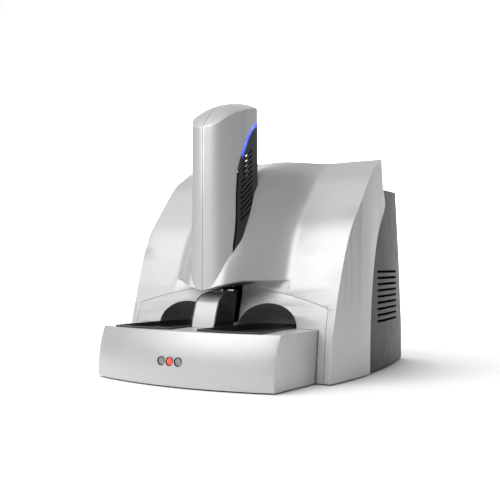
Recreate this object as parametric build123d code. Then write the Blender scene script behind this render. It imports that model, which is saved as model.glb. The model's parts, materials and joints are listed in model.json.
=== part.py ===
"""Bench-top light-curing unit for dental laboratory work, with two curing bays.

All lengths are in millimetres. While the pieces are made, y is the distance behind the line
through the console's two front corners, x is measured to the right from the centre plane and z
up from the bench. Each finished piece is then moved so that the origin is on the bench, under
the middle of the whole unit.
"""
import os
from math import atan2, cos, degrees, pi, radians, sin

from build123d import *

# --- console, the low block at the front -----------------------------------------------------
CONSOLE_HALF_WIDTH = 140.0      # at its front corners
CONSOLE_FLARE = 6.9             # how much wider each side is at the rear
CONSOLE_DEPTH = 110.0
CONSOLE_HEIGHT = 69.3           # the shelf that the trays lie in
CONSOLE_BULGE = 23.0            # how far the front bows out between its corners
CONSOLE_LEAN = 14.0             # how far the top of the front lies back
TONGUE_HALF_WIDTH = 122.0       # the shelf's extension into the bays
TONGUE_REAR = 164.0

# --- hood, the tall silver cover -------------------------------------------------------------
HOOD_HALF_WIDTH = 173.7
WIDEST_Y = 200.8
SIDE_RADIUS = 833.0             # plan radius of the bowed sides
HOOD_TOP = 307.0
PROW_INNER = 20.0               # half-width of the prow's front
PROW_OUTER = 98.0               # half-width where the prow has died away
WALL = 3.0
GROUND_GAP = 2.0                # covers end this far above the bench
SEAM = 0.5                      # gap along a visible joint between covers
# Front of the hood at its sides: height, distance back.
HOOD_EDGE = [(0, 94), (60, 100.5), (114, 113.5), (148, 124.5), (174, 134.5), (205, 150.5),
             (231, 171.5), (257, 193), (283, 216.5), (307, 254)]
# How far the prow stands out in front of that: height on the centre plane, reach.
PROW_REACH = [(0, 66), (148, 66), (170, 63), (200, 67), (226, 78), (250, 88), (276, 80), (307, 48)]
KEEL_RISE = 0.28                # the prow's lower lip rises to either side by this share
KEEL_HALF_WIDTH = 49.0          # further out the lip is level
LIP_HALF_WIDTH = 95.0           # where the lip has run out into the hood's front
# Rear edge of the hood's cheeks, from the bench up to the top corner: y, z.
CHEEK_EDGE = [(207, 0), (209, 58), (213, 100), (218, 128), (225, 158), (233, 182),
              (246, 207), (261, 225), (271, 237)]
CHEEK_MID = (273.4, 243.5)
CHEEK_TOP = [(272, 250), (264.5, 266), (257, 307)]

# --- bays ------------------------------------------------------------------------------------
BAY_PITCH = 137.0               # between the centres of the two bays
BAY_RADIUS = 46.0
BAY_DEPTH = 54.0
BAY_RISE = 32.5                 # height of the arch above the shelf
BAY_Y = 106.0
PANEL_OUTER = 157.0
PANEL_INNER = 22.5
PANEL_OUTER_TOP = 97.0
PANEL_MID_TOP = 114.5
PANEL_INNER_TOP = 125.0
PANEL_CORNER = 5.0

# --- trays -----------------------------------------------------------------------------------
TRAY_HALF_WIDTH = 48.0
TRAY_FRONT_Y = 9.0
TRAY_BULGE = 6.0
TRAY_REAR_RADIUS = 41.0
TRAY_NOTCH_Y = 52.0
TRAY_PROUD = 2.6
TRAY_DEPTH = 12.0
TRAY_WALL = 2.2
TRAY_CLEARANCE = 0.6
PAD_THICKNESS = 5.0

# --- light head between the bays -------------------------------------------------------------
HEAD_HALF_WIDTH = 19.4
HEAD_BASE_Y = 49.8
HEAD_FRONT_TOP = (61.0, 103.5)
HEAD_SHOULDER = (68.5, 110.0)
HEAD_REAR_TOP = (107.0, 118.6)
HEAD_REAR_BASE_Y = 95.5
HEAD_SKIN = 2.4
WINDOW_THICKNESS = 2.0

# --- lamp tower ------------------------------------------------------------------------------
TOWER_HALF_WIDTH = 39.5
TOWER_NOSE_Y = 49.6
TOWER_REAR_Y = 126.0
TOWER_REAR_BOW = 4.0
TOWER_FOOT = 119.0
TOWER_TAPER = 2.0               # how much wider each side would be at the bench
TOWER_SKIN = 2.5
# Crest of the tower's top on the centre plane: y, z.
CREST = [(49.6, 338.9), (60.0, 352.1), (70.0, 361.9), (84.0, 371.8), (102.0, 379.3), (131.0, 385.0)]
CREST_DROP = 11.3               # how much lower the top is at its sides
# Front edge of the black rear cover on the tower's flanks: y, z.
COVER_EDGE = [(77.5, 179.0), (82.0, 245.0), (86.5, 288.0), (96.0, 314.0), (108.0, 334.0), (127.0, 349.0)]
LOUVRE_COUNT = 12
LOUVRE_PITCH = 7.2
LOUVRE_WIDTH = 2.6
LOUVRE_ANGLE = 36.0
LOUVRE_FIRST_Z = 216.0
LOUVRE_REAR_Y = 112.0
GLOW_WIDTH = 3.4

# --- rear housing ----------------------------------------------------------------------------
HOUSING_INSET = 4.6
HOUSING_REAR_Y = 419.0
HOUSING_TOP = 268.0
# Rear wall of the housing from the bench up: y, z.
REAR_WALL = [(419, 46), (409.5, 91), (393, 157), (378, 203), (366, 240), (359, 272)]

# --- controls --------------------------------------------------------------------------------
BUTTON_DIAMETER = 9.6
BUTTON_PITCH = 13.2
BUTTON_Z = 32.5
BUTTON_TRAVEL = 1.5
BEZEL_DIAMETER = 11.6
BUTTON_GAP = 0.35
BUTTON_BOARD_GAP = 16.0         # from a button's face to its switch

# --- lamp, inside the tower ------------------------------------------------------------------
COLUMN_Y = 104.0
COLUMN_HALF_WIDTH = 18.0
GUIDE_Y = 88.0
GUIDE_RADIUS = 6.0
LAMP_Z = 150.0

# --- chassis and inner parts -----------------------------------------------------------------
PLATE_THICKNESS = 2.0
PLATE_Z = 4.0
FOOT_RADIUS = 9.0
FAN_SIZE = 80.0
FAN_DEPTH = 25.0
FAN_Z = 150.0
FAN_X = 62.0
INLET_X = -86.0
INLET_Z = 31.0
SWITCH_X = -44.0
ROCKER_LENGTH = 21.0
ROCKER_WIDTH = 12.0
ROCKER_PIVOT_Y = HOUSING_REAR_Y - 5.0
SCREW_HEAD = 3.2
BOARD_SPACER = 8.0

ROCKER_PROUD = 2.6              # how far the rocker's ends stand out behind the housing

MIDDLE_Y = (HOUSING_REAR_Y + ROCKER_PROUD - CONSOLE_BULGE) / 2
os.makedirs("parts", exist_ok=True)


def save(name, shape):
    """Move a finished piece to the shared origin and write it."""
    moved = Pos(0, -MIDDLE_Y, 0) * shape
    moved.label = name
    export_step(moved, f"parts/{name}.step")


def box(x0, x1, y0, y1, z0, z1):
    """Box from its two corners."""
    centre = ((x0 + x1) / 2, (y0 + y1) / 2, (z0 + z1) / 2)
    return Pos(*centre) * Box(abs(x1 - x0), abs(y1 - y0), abs(z1 - z0))


def rod(x, y, z, radius, length, axis):
    """Round bar that starts at a point and runs along X, Y or Z."""
    turn = {"X": Rotation(0, 90, 0), "Y": Rotation(-90, 0, 0), "Z": Rotation(0, 0, 0)}[axis]
    bar = Cylinder(radius, length, align=(Align.CENTER, Align.CENTER, Align.MIN))
    return Pos(x, y, z) * turn * bar


def prism_x(face, half_width):
    """Solid of a face drawn in the YZ plane, as thick on either side of the centre plane."""
    return extrude(face, half_width, both=True)


def yz_face(*edges):
    """Face in the YZ plane, from edges whose points are (y, z)."""
    return Plane.YZ * make_face(edges)


def xz_face(*edges):
    """Face in the XZ plane, from edges whose points are (x, z)."""
    return Plane.XZ * make_face(edges)


def mirror_x(shape):
    return mirror(shape, Plane.YZ)


# --- body outlines ---------------------------------------------------------------------------
def body_plan(inset):
    """Plan of the whole body behind the console: two bowed sides joined by straight ends."""
    centre_x = HOOD_HALF_WIDTH - SIDE_RADIUS
    radius = SIDE_RADIUS - inset

    def side(y):
        return centre_x + (radius ** 2 - (y - WIDEST_Y) ** 2) ** 0.5

    y0, y1 = 40.0, HOUSING_REAR_Y + 30.0
    right = ThreePointArc((side(y0), y0), (side(WIDEST_Y), WIDEST_Y), (side(y1), y1))
    left = ThreePointArc((-side(y0), y0), (-side(WIDEST_Y), WIDEST_Y), (-side(y1), y1))
    front = Line((-side(y0), y0), (side(y0), y0))
    rear = Line((-side(y1), y1), (side(y1), y1))
    return make_face([right, left, front, rear])


def smooth_between(rows, z):
    """Value of a table of (height, value) rows at any height, without overshoot."""
    last = len(rows) - 1
    z = min(max(z, rows[0][0]), rows[last][0])
    low = max(i for i in range(last) if rows[i][0] <= z)

    def grade(i):
        return (rows[i + 1][1] - rows[i][1]) / (rows[i + 1][0] - rows[i][0])

    def slope(i):
        if i == 0:
            return grade(0)
        if i == last:
            return grade(last - 1)
        before, after = grade(i - 1), grade(i)
        return 0.0 if before * after <= 0 else 2 * before * after / (before + after)

    width = rows[low + 1][0] - rows[low][0]
    t = (z - rows[low][0]) / width
    value = (2 * t ** 3 - 3 * t ** 2 + 1) * rows[low][1] + (3 * t ** 2 - 2 * t ** 3) * rows[low + 1][1]
    value += (t ** 3 - 2 * t ** 2 + t) * slope(low) * width + (t ** 3 - t ** 2) * slope(low + 1) * width
    return value


def side_front(z, wall):
    """Depth of the hood's front at its sides, or of its inner face."""
    return smooth_between(HOOD_EDGE, z + wall) + wall


def hood_front(x, z, wall):
    """Depth of the hood's front with its prow, at a point of its front view."""
    off_centre = (x ** 2 + 25) ** 0.5 - 5
    reach = smooth_between(PROW_REACH, z - KEEL_RISE * min(off_centre, KEEL_HALF_WIDTH))
    part = min(max((abs(x) - PROW_INNER + wall) / (PROW_OUTER - PROW_INNER), 0.0), 1.0)
    return side_front(z, wall) - reach * (1 + cos(pi * part)) / 2


def front_edge(wall):
    """Curve of the hood's front at its sides, in the YZ plane."""
    return Spline(*[(side_front(z, wall), z) for z in range(-10, int(HOOD_TOP) + 12, 12)])


def plain_blank(wall):
    """Solid outer shape of the hood without its prow, or the same set back by a wall."""
    edge = front_edge(wall)
    rest = Polyline(edge @ 1, (HOUSING_REAR_Y, (edge @ 1).Y), (HOUSING_REAR_Y, -10), edge @ 0)
    return prism_x(yz_face(edge, rest), HOOD_HALF_WIDTH + 10) & extrude(Pos(0, 0, -20) * body_plan(wall), 400)


def under_prow(wall):
    """The room below the prow's lip, in front of the plain part of the hood."""
    tip = TOWER_FOOT + wall
    lip = tip + KEEL_RISE * KEEL_HALF_WIDTH
    right = [(0, tip), (KEEL_HALF_WIDTH, lip), (LIP_HALF_WIDTH, lip), (LIP_HALF_WIDTH, -20)]
    left = [(-x, z) for x, z in reversed(right[1:])]
    vee = xz_face(Polyline(*right, *left, close=True))
    edge = front_edge(wall)
    rest = Polyline(edge @ 1, (0, (edge @ 1).Y), (0, -10), edge @ 0)
    return extrude(vee, -HOUSING_REAR_Y) & prism_x(yz_face(edge, rest), LIP_HALF_WIDTH + 10)


def hood_blank(wall):
    """Solid outer shape of the hood with its prow, or the same set back by a wall."""
    wide = HOOD_HALF_WIDTH + 16.0
    columns = [wide * i / 20 for i in range(-20, 21)]
    heights = [-6.0 + (HOOD_TOP + 12.0) * i / 40 for i in range(41)]
    grid = [[Vector(x, hood_front(x, z, wall), z) for z in heights] for x in columns]
    skin = Face.make_surface_from_array_of_points(grid, tol=0.05)
    behind = Solid.extrude(skin, Vector(0, HOUSING_REAR_Y, 0))
    return (behind & extrude(body_plan(wall), HOOD_TOP)) - under_prow(wall)


def cheek_face():
    """Profile that ends the hood's cheeks and its top at the rear."""
    edge = Spline(*CHEEK_EDGE)
    corner = ThreePointArc(CHEEK_EDGE[-1], CHEEK_MID, CHEEK_TOP[0])
    above, below = HOOD_TOP + 20, -20
    rest = Polyline(*CHEEK_TOP, (CHEEK_TOP[-1][0], above), (0, above), (0, below), (CHEEK_EDGE[0][0], below),
                    CHEEK_EDGE[0])
    return yz_face(edge, corner, rest)


def hollow_face():
    """Profile of the space inside the hood: open to the rear below its rear lip."""
    lip_y, lip_z = CHEEK_TOP[1]
    inner_top = HOOD_TOP - 3 * WALL
    slope = (CHEEK_TOP[2][0] - lip_y) / (CHEEK_TOP[2][1] - lip_z)
    top_y = lip_y + slope * (inner_top - lip_z) - WALL
    outline = Polyline((0, -5), (500, -5), (500, lip_z), (lip_y - WALL, lip_z), (top_y, inner_top),
                       (0, inner_top), close=True)
    return yz_face(outline)


def seam_face(grow):
    """Front view of the right-hand bay panel, grown by the gap of its seam."""
    inner, outer = PANEL_INNER - grow, PANEL_OUTER + grow
    middle = (inner + outer) / 2
    start, end = (inner, PANEL_INNER_TOP + grow), (outer, PANEL_OUTER_TOP + grow)
    top = ThreePointArc(start, (middle, PANEL_MID_TOP + grow), end)
    rest = Polyline(end, (outer, -10), (inner, -10), start)
    face = make_face([top, rest])
    corner = face.vertices().sort_by(Axis.X)[-2:].sort_by(Axis.Y)[-1]
    return Plane.XZ * fillet(corner, PANEL_CORNER)


# --- console ---------------------------------------------------------------------------------
def console_section(z, lean, inset, rear_y=CONSOLE_DEPTH):
    """Plan of the console at one level."""
    front_y = lean + inset
    half = CONSOLE_HALF_WIDTH + CONSOLE_FLARE * lean / CONSOLE_DEPTH - inset
    rear_half = CONSOLE_HALF_WIDTH + CONSOLE_FLARE - inset
    bow = ThreePointArc((-half, front_y), (0, front_y - CONSOLE_BULGE), (half, front_y))
    sides = Polyline((half, front_y), (rear_half, rear_y), (-rear_half, rear_y), (-half, front_y))
    return Pos(0, 0, z) * make_face([bow, sides])


def console_blank(inset, z0, z1, rear_y=CONSOLE_DEPTH):
    """Solid console from z0 to z1, its front leaning back along a curve."""
    levels = [z0, z0 + (z1 - z0) * 0.2, z0 + (z1 - z0) * 0.55, z0 + (z1 - z0) * 0.8, z1]
    straight = CONSOLE_HEIGHT * 0.12

    def lean(z):
        return CONSOLE_LEAN * max(0.0, (z - straight) / (CONSOLE_HEIGHT - straight)) ** 2.2

    return loft([console_section(z, lean(z), inset, rear_y) for z in levels])


def tray_outline(grow):
    """Plan of a tray about its own centre line: bowed front, finger notch, round rear."""
    half, rear = TRAY_HALF_WIDTH + grow, TRAY_REAR_RADIUS + grow
    front = TRAY_FRONT_Y - grow
    centre_y = BAY_Y + 4.0
    step = TRAY_NOTCH_Y + grow
    bow = ThreePointArc((-half, front), (0, front - TRAY_BULGE), (half, front))
    right = Polyline((half, front), (half - 3, step), (rear, step + 7), (rear, centre_y))
    back = ThreePointArc((rear, centre_y), (0, centre_y + rear), (-rear, centre_y))
    left = Polyline((-rear, centre_y), (-half, front))
    return make_face([bow, right, back, left])


def front_console():
    body = console_blank(0, GROUND_GAP, CONSOLE_HEIGHT)
    half, rear = TONGUE_HALF_WIDTH, TONGUE_REAR
    body += box(-half, half, CONSOLE_DEPTH - 20, rear, CONSOLE_HEIGHT - 24, CONSOLE_HEIGHT)
    hollow = console_blank(WALL, GROUND_GAP - 1, CONSOLE_HEIGHT - WALL, CONSOLE_DEPTH + 2)
    hollow += box(-half + WALL, half - WALL, CONSOLE_DEPTH - 22, rear - WALL, GROUND_GAP - 1, CONSOLE_HEIGHT - WALL)
    body -= hollow
    floor_z = CONSOLE_HEIGHT + TRAY_PROUD - TRAY_DEPTH
    for x in (-BAY_PITCH / 2, BAY_PITCH / 2):
        outer = extrude(tray_outline(TRAY_CLEARANCE + WALL), CONSOLE_HEIGHT - floor_z + WALL - 1)
        inner = extrude(tray_outline(TRAY_CLEARANCE), 30)
        body += (Pos(x, 0, floor_z - WALL) * outer) & console_room(floor_z - WALL)
        body -= Pos(x, 0, floor_z) * inner
    for x in button_places():
        body -= rod(x, -CONSOLE_BULGE - 5, BUTTON_Z, BEZEL_DIAMETER / 2 + 0.05, 30, "Y")
    head = HEAD_HALF_WIDTH - 6
    body -= box(-head, head, HEAD_BASE_Y + 12, HEAD_REAR_BASE_Y - 8, CONSOLE_HEIGHT - 5, CONSOLE_HEIGHT + 1)
    return body


def console_room(z):
    """The console's solid shape above a level, which its tray wells stay inside."""
    return console_blank(0, GROUND_GAP, CONSOLE_HEIGHT) + box(
        -TONGUE_HALF_WIDTH, TONGUE_HALF_WIDTH, CONSOLE_DEPTH - 1, TONGUE_REAR, z, CONSOLE_HEIGHT)


def button_places():
    return [-BUTTON_PITCH, 0.0, BUTTON_PITCH]


# --- hood and bay panels ---------------------------------------------------------------------
def hood_outer():
    return hood_blank(0) & prism_x(cheek_face(), HOOD_HALF_WIDTH + 10)


def hood_cavity():
    return hood_blank(WALL) & prism_x(hollow_face(), HOOD_HALF_WIDTH + 10)


def panel_zone(grow):
    """Block of space that the right-hand bay panel is cut from, along its seam."""
    return extrude(seam_face(grow), -(WIDEST_Y - 50))


def console_space(gap):
    """The room that the console takes, with a gap all round."""
    side = CONSOLE_HALF_WIDTH + CONSOLE_FLARE + gap
    block = box(-side, side, -40, CONSOLE_DEPTH + gap, -10, CONSOLE_HEIGHT + gap)
    tongue = box(-TONGUE_HALF_WIDTH - gap, TONGUE_HALF_WIDTH + gap, 60, TONGUE_REAR + gap, 20, CONSOLE_HEIGHT + gap)
    return block + tongue


def hood_shell(outer, cavity):
    body = outer - cavity
    zone = panel_zone(SEAM)
    body -= zone + mirror_x(zone)
    body -= console_space(SEAM)
    body -= box(-200, 200, 0, 400, -10, GROUND_GAP)
    body -= tower_plug()
    body -= prism_x(head_profile(-SEAM), HEAD_HALF_WIDTH + SEAM)
    return body.solids().sort_by(SortBy.VOLUME)[-1]


def bay_niche(grow):
    """Half-dome over the rear of a tray."""
    radii = (BAY_RADIUS + grow, BAY_DEPTH + grow, BAY_RISE + grow)
    return Pos(BAY_PITCH / 2, BAY_Y, CONSOLE_HEIGHT) * scale(Sphere(1), by=radii)


def bay_panel():
    """Right-hand bay panel: a piece of the hood's skin with a half-dome let into it."""
    inside = plain_blank(WALL)
    skin = (plain_blank(0) - inside) & panel_zone(0)
    dome = (bay_niche(WALL) - bay_niche(0)) & inside
    panel = skin + dome - bay_niche(0)
    panel -= console_space(SEAM) + tower_plug()
    panel -= box(-10, 200, 0, 400, -10, GROUND_GAP)
    return panel.solids().sort_by(SortBy.VOLUME)[-1]


# --- light head ------------------------------------------------------------------------------
def head_profile(inset):
    """Side view of the light head; the inset leaves room for its skin."""
    base_z = CONSOLE_HEIGHT + 0.2
    front = (HEAD_BASE_Y + inset, base_z)
    top_front = (HEAD_FRONT_TOP[0] + inset, HEAD_FRONT_TOP[1] - inset * 0.3)
    shoulder = (HEAD_SHOULDER[0] + inset * 0.7, HEAD_SHOULDER[1] - inset * 0.8)
    rear_top = (HEAD_REAR_TOP[0], HEAD_REAR_TOP[1] - inset)
    middle = ((shoulder[0] + rear_top[0]) / 2, (shoulder[1] + rear_top[1]) / 2 + 1.6)
    lower = ((front[0] + top_front[0]) / 2 - 0.8, (front[1] + top_front[1]) / 2)
    edges = [
        ThreePointArc(front, lower, top_front),
        Spline(top_front, shoulder, middle, rear_top),
        Polyline(rear_top, (HEAD_REAR_BASE_Y, base_z), front),
    ]
    return yz_face(*edges)


def guide_bore():
    """Hole for the light guide between the tower and the light head."""
    return rod(0, GUIDE_Y, CONSOLE_HEIGHT + 10, GUIDE_RADIUS + 0.3, LAMP_Z - CONSOLE_HEIGHT, "Z")


def light_head_shell():
    """Front and top of the light head, between its two windows."""
    half = HEAD_HALF_WIDTH - WINDOW_THICKNESS
    skin = prism_x(head_profile(0), half) - prism_x(head_profile(HEAD_SKIN), half + 1)
    return skin - guide_bore()


def light_window():
    """Right-hand window: the head's whole side as one tinted plate."""
    plate = prism_x(head_profile(0), HEAD_HALF_WIDTH)
    return plate & box(HEAD_HALF_WIDTH - WINDOW_THICKNESS, HEAD_HALF_WIDTH + 1, 0, 200, 0, 200)


def light_head_frame():
    """Frame inside the head that carries both windows, open between them."""
    half = HEAD_HALF_WIDTH - WINDOW_THICKNESS
    inner = prism_x(head_profile(HEAD_SKIN), half)
    window = prism_x(head_profile(HEAD_SKIN + 4), half + 1)
    window = window & box(-40, 40, HEAD_BASE_Y + 10, HEAD_REAR_BASE_Y - 1.5, CONSOLE_HEIGHT + 8, 200)
    return inner - window - guide_bore()


# --- lamp tower ------------------------------------------------------------------------------
def tower_plan(inset, z):
    """Plan of the tower at one level: a boat shape, round at the nose and square at the rear."""
    spread = TOWER_TAPER * (CREST[-1][1] - z) / CREST[-1][1]
    half, nose, rear = TOWER_HALF_WIDTH - inset + spread, TOWER_NOSE_Y + inset - spread / 3, TOWER_REAR_Y
    length = rear - nose
    points = [(0, nose), (half * 0.62, nose + length * 0.135), (half * 0.88, nose + length * 0.40),
              (half, rear)]
    right = Spline(*points, tangents=[(1, 0), (0, 1)])
    left = Spline(*[(-x, y) for x, y in points], tangents=[(-1, 0), (0, 1)])
    end = ThreePointArc((half, rear), (0, rear + TOWER_REAR_BOW - inset), (-half, rear))
    return make_face([right, left, end])


def tower_crown(inset):
    """Everything below the tower's domed top."""
    wide = TOWER_HALF_WIDTH + 12
    drop = CREST_DROP * (wide / TOWER_HALF_WIDTH) ** 2
    crest = Spline(*CREST)
    rows = 12
    across = [wide * i / 8 for i in range(-8, 9)]
    y0, y1 = TOWER_NOSE_Y - 6, TOWER_REAR_Y + TOWER_REAR_BOW + 10
    grid = []
    for x in across:
        row = []
        for i in range(rows + 1):
            point = crest @ (i / rows)
            row.append(Vector(x, point.X, point.Y - drop * (x / wide) ** 2 - inset))
        first, last = row[0], row[-1]
        row.insert(0, Vector(x, y0, first.Z - 1.45 * (first.Y - y0)))
        row.append(Vector(x, y1, last.Z + 0.1 * (y1 - last.Y)))
        grid.append(row)
    top = Face.make_surface_from_array_of_points(grid, tol=0.02)
    return Solid.extrude(top, Vector(0, 0, -400))


def above_keel(z):
    """Space above the prow's keel: a wide V that rises to both sides."""
    wide, high = 70.0, CREST[-1][1] + 20
    lip = z + KEEL_RISE * wide
    vee = Polyline((0, z), (wide, lip), (wide, high), (-wide, high), (-wide, lip), close=True)
    return extrude(xz_face(vee), -(TOWER_REAR_Y + 50))


def tower_blank(inset):
    """Solid tower from well below the hood up to its top."""
    low, high = TOWER_FOOT - 1, CREST[-1][1] + 5
    body = loft([Pos(0, 0, z) * tower_plan(inset, z) for z in (low, high)], ruled=True)
    return body & tower_crown(inset) & above_keel(TOWER_FOOT + inset)


def tower_plug():
    """Opening in the hood for the tower's foot, in line with the tower's own surface."""
    low, high = TOWER_FOOT - 1, CREST[-1][1] + 5
    plug = loft([Pos(0, 0, z) * tower_plan(-SEAM / 2, z) for z in (low, high)], ruled=True)
    return plug & above_keel(TOWER_FOOT - SEAM / 2)


def cover_zone(grow):
    """The rear part of the tower that its black cover takes."""
    edge = Spline(*[(y - grow, z + grow) for y, z in COVER_EDGE])
    bottom_y = COVER_EDGE[0][0] - grow - 3
    rest = Polyline((COVER_EDGE[-1][0] - grow, COVER_EDGE[-1][1] + grow), (160, COVER_EDGE[-1][1] + grow),
                    (160, 60), (bottom_y, 60), (COVER_EDGE[0][0] - grow, COVER_EDGE[0][1] + grow))
    return prism_x(yz_face(edge, rest), 60)


def tower_shell(outer, inner):
    """Right half of the tower's silver skin."""
    skin = outer - inner - cover_zone(GLOW_WIDTH) - tower_throat() - guide_bore()
    skin = skin & box(SEAM / 2, 60, 0, 200, 0, 500)
    return skin.solids().sort_by(SortBy.VOLUME)[-1]


def tower_throat():
    """Way through the tower's floor for the lamp column and its wiring."""
    half = COLUMN_HALF_WIDTH + 4
    return box(-half, half, COLUMN_Y - 6, TOWER_REAR_Y + 10, TOWER_FOOT - 5, TOWER_FOOT + 12)


def tower_rear_cover(outer, inner):
    """Black cover round the tower's rear, with slanted vents in both flanks and at the back."""
    cover = (outer - inner) & cover_zone(0)
    cover -= tower_throat() + guide_bore()
    for i in range(LOUVRE_COUNT):
        z = LOUVRE_FIRST_Z + i * LOUVRE_PITCH
        length = 60.0
        slot = Rotation(LOUVRE_ANGLE, 0, 0) * Box(200, length, LOUVRE_WIDTH)
        cut = Pos(0, LOUVRE_REAR_Y - length / 2 * cos(radians(LOUVRE_ANGLE)),
                  z + 18 - length / 2 * sin(radians(LOUVRE_ANGLE))) * slot
        cover -= cut & louvre_room()
    for i in range(LOUVRE_COUNT):
        z = LOUVRE_FIRST_Z + 12 + i * LOUVRE_PITCH
        cover -= box(-24, 24, TOWER_REAR_Y - 8, TOWER_REAR_Y + 20, z, z + LOUVRE_WIDTH)
    return cover.solids().sort_by(SortBy.VOLUME)[-1]


def louvre_room():
    """The vents stop short of the cover's front edge and of its rear corner."""
    edge = Spline(*[(y + 3.0, z - 3.0) for y, z in COVER_EDGE])
    top = (LOUVRE_REAR_Y, COVER_EDGE[-1][1] - 3)
    face_edges = [edge, Polyline((COVER_EDGE[-1][0] + 3.0, top[1]), (COVER_EDGE[-1][0] + 4, 100),
                                 (COVER_EDGE[0][0] + 3, 100), (COVER_EDGE[0][0] + 3, COVER_EDGE[0][1] - 3))]
    return prism_x(yz_face(*face_edges), 60) & box(-60, 60, 0, LOUVRE_REAR_Y, 0, 400)


def glow_pipe(outer, inner):
    """Clear strip along the upper edge of the black cover on the right flank."""
    band = cover_zone(GLOW_WIDTH - 0.05) - cover_zone(0.05)
    strip = (outer - inner) & band
    strip = strip & box(4, 60, 0, 200, COVER_EDGE[2][1] - 6, 500)
    return strip.solids().sort_by(SortBy.VOLUME)[-1]


# --- trays -----------------------------------------------------------------------------------
def tray():
    """Dish that carries the work: a raised rim round a shallow well."""
    body = extrude(tray_outline(0), TRAY_DEPTH)
    well = extrude(tray_outline(-TRAY_WALL), TRAY_DEPTH)
    body -= Pos(0, 0, TRAY_WALL) * well
    return Pos(0, 0, CONSOLE_HEIGHT + TRAY_PROUD - TRAY_DEPTH) * body


def tray_pad():
    """Glossy sheet that lines the tray's floor."""
    gap = 0.3
    pad = extrude(tray_outline(-TRAY_WALL - gap), PAD_THICKNESS)
    return Pos(0, 0, CONSOLE_HEIGHT + TRAY_PROUD - TRAY_DEPTH + TRAY_WALL) * pad


# --- rear housing ----------------------------------------------------------------------------
def housing_face(inset):
    """Side profile of the rear housing: upright at the foot, then leaning forward in a curve."""
    foot, upright = (HOUSING_REAR_Y - inset, 0), (HOUSING_REAR_Y - inset, REAR_WALL[0][1])
    wall = Spline(*[(y - inset, z) for y, z in REAR_WALL[:-1]], (REAR_WALL[-1][0] - inset, HOUSING_TOP - inset),
                  tangents=[(0, 1), (-0.2, 1)])
    top_y = CHEEK_TOP[1][0] - WALL - 2.5
    rest = Polyline((REAR_WALL[-1][0] - inset, HOUSING_TOP - inset), (CHEEK_TOP[1][0] + 2, HOUSING_TOP - 3 - inset),
                    (top_y - 45, HOUSING_TOP - 3 - inset), (CHEEK_EDGE[0][0] - 5, 190), (CHEEK_EDGE[0][0] - 5, 0), foot, upright)
    return yz_face(wall, rest)


def housing_blank(inset):
    return prism_x(housing_face(inset), 200) & extrude(body_plan(HOUSING_INSET + inset), 400)


def rear_wall_y(z):
    """Depth of the housing's rear face at a height."""
    points = [(HOUSING_REAR_Y, 0)] + REAR_WALL
    for (y0, z0), (y1, z1) in zip(points, points[1:]):
        if z0 <= z <= z1:
            return y0 + (y1 - y0) * (z - z0) / (z1 - z0)
    return points[-1][0]


def fan_place():
    """Location of the fan's outer face on the leaning rear wall, its Z axis pointing out."""
    lower, upper = rear_wall_y(FAN_Z - 20), rear_wall_y(FAN_Z + 20)
    lean = degrees(atan2(lower - upper, 40))
    return Pos(FAN_X, rear_wall_y(FAN_Z) - 4.5, FAN_Z) * Rotation(-90 + lean, 0, 0)


def rear_housing(cavity):
    body = housing_blank(0) - housing_blank(WALL)
    body = body & (cavity + box(-250, 250, CHEEK_EDGE[0][0] - 6, 600, -5, HOUSING_TOP + 5))
    body -= box(-250, 250, CHEEK_EDGE[0][0] - 20, CHEEK_EDGE[0][0] - 5 + WALL + 0.5, -5, 186)
    body -= box(-250, 250, 150, CHEEK_TOP[1][0] - 25, 180, 400)
    body -= box(-250, 250, 0, 600, -5, GROUND_GAP)
    body -= box(INLET_X - 14, INLET_X + 14, HOUSING_REAR_Y - 10, HOUSING_REAR_Y + 5, INLET_Z - 10, INLET_Z + 10)
    half_w, half_l = ROCKER_WIDTH / 2 + 2, ROCKER_LENGTH / 2 + 2
    body -= box(SWITCH_X - half_w, SWITCH_X + half_w, HOUSING_REAR_Y - 10, HOUSING_REAR_Y + 5,
                INLET_Z - half_l, INLET_Z + half_l)
    vent = Cylinder(FAN_SIZE / 2 - 2, 30)
    body -= fan_place() * vent
    for side in (-1, 1):
        for i in range(9):
            z = 70 + i * 9
            body -= box(side * 90, side * 200, 250, 360, z, z + 3.5)
    for i in range(10):
        x = -112 + i * 12
        body -= box(x, x + 4, 330, 450, 120, 190)
    return body.solids().sort_by(SortBy.VOLUME)[-1]


# --- chassis ---------------------------------------------------------------------------------
def base_plate():
    """Steel plate that closes the underside and carries the inner parts."""
    rear = extrude(body_plan(HOUSING_INSET + WALL + 1), PLATE_THICKNESS)
    rear = rear & box(-200, 200, CONSOLE_DEPTH + 1, HOUSING_REAR_Y - WALL - 1, -5, 5)
    front = console_section(0, 0, WALL + 1, CONSOLE_DEPTH + 2)
    plate = rear + extrude(front, PLATE_THICKNESS)
    plate = Pos(0, 0, PLATE_Z) * plate
    for x in (-152, 120):
        for i in range(6):
            plate -= box(x, x + 32, 260 + i * 12, 264 + i * 12, 0, 10)
    return plate.solids().sort_by(SortBy.VOLUME)[-1]


def feet():
    """Four soft feet on the underside of the base plate."""
    places = [(-110, 20), (110, 20), (-110, HOUSING_REAR_Y - 40), (110, HOUSING_REAR_Y - 40)]
    return [rod(x, y, 0, FOOT_RADIUS, PLATE_Z, "Z") for x, y in places]


def lamp_column():
    """Folded steel column from the base plate, under the prow and up the back of the tower."""
    half, foot_y = COLUMN_HALF_WIDTH, TONGUE_REAR + 12
    shelf_z, top = TOWER_FOOT + 9, LAMP_Z + 130
    post = box(-half, half, foot_y, foot_y + 30, PLATE_Z + PLATE_THICKNESS, shelf_z)
    post -= box(-half + 2, half - 2, foot_y + 2, foot_y + 31, PLATE_Z + PLATE_THICKNESS + 2, shelf_z - 2)
    neck = box(-half, half, COLUMN_Y + 12, foot_y + 30, shelf_z - 2, shelf_z)
    spine = box(-half, half, COLUMN_Y + 12, COLUMN_Y + 14, shelf_z - 2, top)
    return post + neck + spine


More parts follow.
